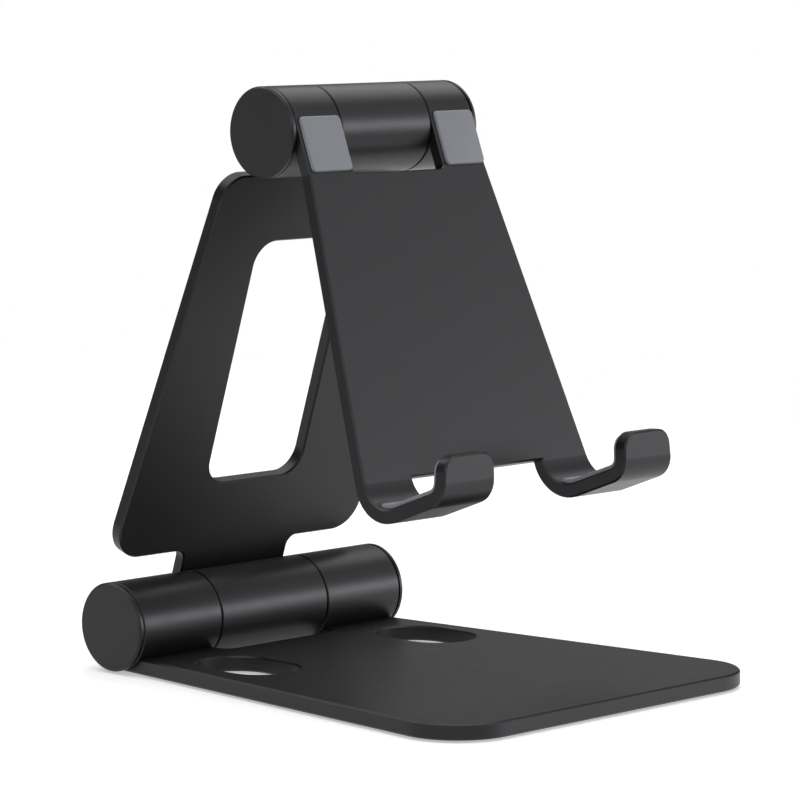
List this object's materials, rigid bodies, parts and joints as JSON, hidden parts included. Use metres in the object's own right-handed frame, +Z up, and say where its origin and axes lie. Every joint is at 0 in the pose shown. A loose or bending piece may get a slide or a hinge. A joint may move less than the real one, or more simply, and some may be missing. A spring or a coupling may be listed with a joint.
{
  "type": "phone stand",
  "caption": "Folding phone stand: base plate, arm with a window and a hooked phone cradle, joined by two friction hinges.",
  "frame": {"origin": "on the table, under the middle of the stand's bounding box", "axes": "+X along both hinges, towards the right of a user facing the phone; +Y to the back of the stand; +Z up"},
  "size_m": [0.0784, 0.0992, 0.1052],
  "materials": {
    "anodised_aluminium": "bead-blasted, black anodised",
    "pad_silicone": "smooth grey silicone",
    "foot_silicone": "smooth black silicone",
    "hardware_steel": "zinc plated",
    "hinge_polymer": "natural, machined"
  },
  "bodies": {
    "base": {"base_plate": "anodised_aluminium", "foot_pad_front": "foot_silicone", "foot_pad_rear": "foot_silicone", "lower_hinge_bolt": "hardware_steel", "lower_head_washer": "hardware_steel", "lower_nut_washer": "hardware_steel", "lower_disc_spring_inner": "hardware_steel", "lower_disc_spring_outer": "hardware_steel", "lower_hinge_nut": "hardware_steel", "lower_end_cap_left": "anodised_aluminium", "lower_end_cap_right": "anodised_aluminium"},
    "arm": {"arm_plate": "anodised_aluminium", "lower_bush_left": "hinge_polymer", "lower_bush_right": "hinge_polymer", "lower_friction_washer_left": "hinge_polymer", "lower_friction_washer_right": "hinge_polymer", "upper_bush_left": "hinge_polymer", "upper_bush_right": "hinge_polymer", "upper_friction_washer_left": "hinge_polymer", "upper_friction_washer_right": "hinge_polymer"},
    "cradle": {"cradle_plate": "anodised_aluminium", "prong_pad_left": "pad_silicone", "prong_pad_right": "pad_silicone", "hook_pad_left": "pad_silicone", "hook_pad_right": "pad_silicone", "upper_hinge_bolt": "hardware_steel", "upper_head_washer": "hardware_steel", "upper_nut_washer": "hardware_steel", "upper_disc_spring_inner": "hardware_steel", "upper_disc_spring_outer": "hardware_steel", "upper_hinge_nut": "hardware_steel", "upper_end_cap_left": "anodised_aluminium", "upper_end_cap_right": "anodised_aluminium"}
  },
  "joints": [
    {"name": "arm_hinge", "type": "hinge", "parent": "base", "child": "arm", "pos_m": [0, 0.04165, 0.0084], "axis": [1, 0, 0], "range_deg": [-107.8, 22]},
    {"name": "cradle_hinge", "type": "hinge", "parent": "arm", "child": "cradle", "pos_m": [0, 0.01313, 0.09723], "axis": [1, 0, 0], "range_deg": [-125, 45]}
  ]
}
